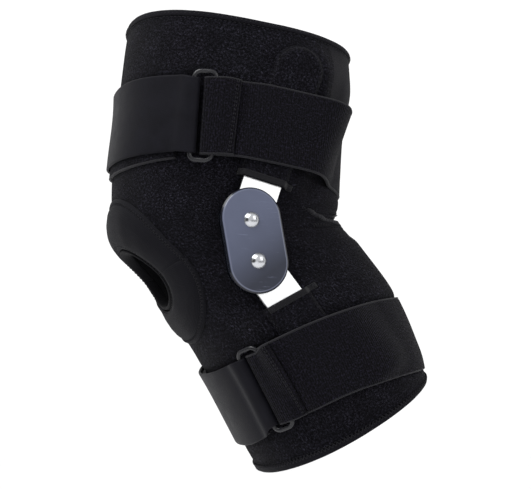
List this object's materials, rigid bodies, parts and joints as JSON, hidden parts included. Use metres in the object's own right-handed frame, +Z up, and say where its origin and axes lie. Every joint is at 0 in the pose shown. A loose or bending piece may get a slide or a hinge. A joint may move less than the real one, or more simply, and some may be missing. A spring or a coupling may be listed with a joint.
{
  "type": "hinged knee brace",
  "caption": "Padded wrap sleeve for the knee with an open kneecap, side struts in fabric pockets joined by geared rivet hinges, and ring-and-hook straps at thigh and calf.",
  "frame": {"origin": "knee centre: midway between the two side hinges and midway between the two rivets of each hinge", "axes": "+Z up along the leg towards the thigh, -Y front (kneecap), +Y back of the knee, +X outer side of the leg; the hinge axes lie along X"},
  "size_m": [0.159, 0.2135, 0.2957],
  "materials": {
    "loop_fabric": "brushed loop knit over foam, near black",
    "jersey": "smooth fine jersey, near black",
    "elastic": "ribbed elastic webbing, near black",
    "hook_tab": "smooth satin coated back, dark charcoal",
    "wire": "black painted wire, glossy",
    "strut": "polished",
    "cover": "smooth dark blue-grey, faint scuffs",
    "washer": "plain",
    "rivet": "bright domed"
  },
  "bodies": {
    "thigh": {"thigh_sleeve": "loop_fabric", "thigh_hem": "jersey", "thigh_elastic_strap": "elastic", "thigh_front_strap": "elastic", "thigh_ring": "wire", "lateral_upper_pocket": "loop_fabric", "medial_upper_pocket": "loop_fabric", "lateral_upper_mouth_tape": "jersey", "medial_upper_mouth_tape": "jersey", "lateral_upper_strut": "strut", "medial_upper_strut": "strut"},
    "thigh_tab": {"thigh_hook_tab": "hook_tab"},
    "knee": {"knee_sleeve": "loop_fabric", "kneecap_pad": "jersey", "kneecap_binding": "jersey", "knee_back_binding": "jersey", "lateral_outer_cover": "cover", "lateral_inner_cover": "cover", "lateral_washers": "washer", "lateral_upper_rivet": "rivet", "lateral_lower_rivet": "rivet", "lateral_hinge_pad": "jersey", "medial_outer_cover": "cover", "medial_inner_cover": "cover", "medial_washers": "washer", "medial_upper_rivet": "rivet", "medial_lower_rivet": "rivet", "medial_hinge_pad": "jersey"},
    "calf": {"calf_sleeve": "loop_fabric", "calf_hem": "jersey", "calf_elastic_strap": "elastic", "calf_front_strap": "elastic", "calf_ring": "wire", "lateral_lower_pocket": "loop_fabric", "medial_lower_pocket": "loop_fabric", "lateral_lower_mouth_tape": "jersey", "medial_lower_mouth_tape": "jersey", "lateral_lower_strut": "strut", "medial_lower_strut": "strut"},
    "calf_tab": {"calf_hook_tab": "hook_tab"}
  },
  "joints": [
    {"name": "upper_pivot", "type": "hinge", "parent": "thigh", "child": "knee", "pos_m": [0.071, -0.00222, 0.01261], "axis": [1, 0, 0], "range_deg": [-28, 17], "deforming": ["thigh_elastic_strap", "thigh_front_strap", "knee_sleeve", "kneecap_pad", "kneecap_binding", "knee_back_binding"]},
    {"name": "lower_pivot", "type": "hinge", "parent": "knee", "child": "calf", "pos_m": [0.071, 0.00222, -0.01261], "axis": [1, 0, 0], "range_deg": [-28, 17], "deforming": ["calf_elastic_strap", "calf_front_strap"]},
    {"name": "thigh_tab_peel", "type": "hinge", "parent": "thigh", "child": "thigh_tab", "pos_m": [0.06876, -0.03849, 0.07737], "axis": [0.0668, 0.0511, 0.9965], "range_deg": [0, 100]},
    {"name": "calf_tab_peel", "type": "hinge", "parent": "calf", "child": "calf_tab", "pos_m": [0.04911, 0.00817, -0.09299], "axis": [0.0308, -0.4769, 0.8784], "range_deg": [0, 100]}
  ],
  "couplings": [
    {"joint": "lower_pivot", "follows": "upper_pivot", "ratio": 1}
  ]
}
